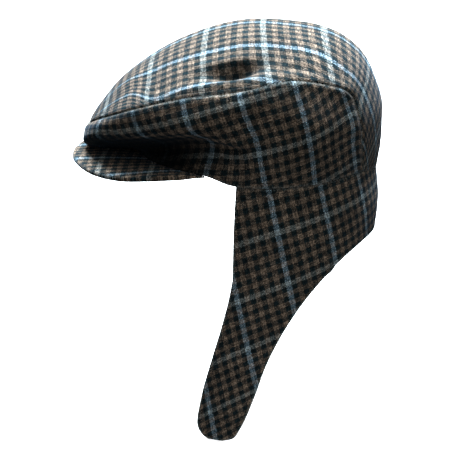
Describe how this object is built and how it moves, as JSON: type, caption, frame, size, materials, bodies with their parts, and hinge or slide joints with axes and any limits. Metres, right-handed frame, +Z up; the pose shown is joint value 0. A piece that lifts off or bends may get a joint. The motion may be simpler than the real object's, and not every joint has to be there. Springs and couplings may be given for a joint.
{
  "type": "deerstalker hat, a tweed cap with a peak and long ear flaps",
  "caption": "Checked tweed cap: full forward crown, short stiff peak, and a neck flap that hangs in two long ear lappets.",
  "frame": {"origin": "middle of the head opening, at the height of the rim over the ears", "axes": "+Z up, -Y forward over the peak, +X towards the wearer's left ear"},
  "size_m": [0.1878, 0.2685, 0.3662],
  "materials": {
    "tweed": "woven wool, brushed and matt"
  },
  "bodies": {
    "root": {"crown_top": "tweed", "crown_side_left": "tweed", "crown_side_right": "tweed", "peak": "tweed", "ear_flap": "tweed"}
  },
  "joints": []
}
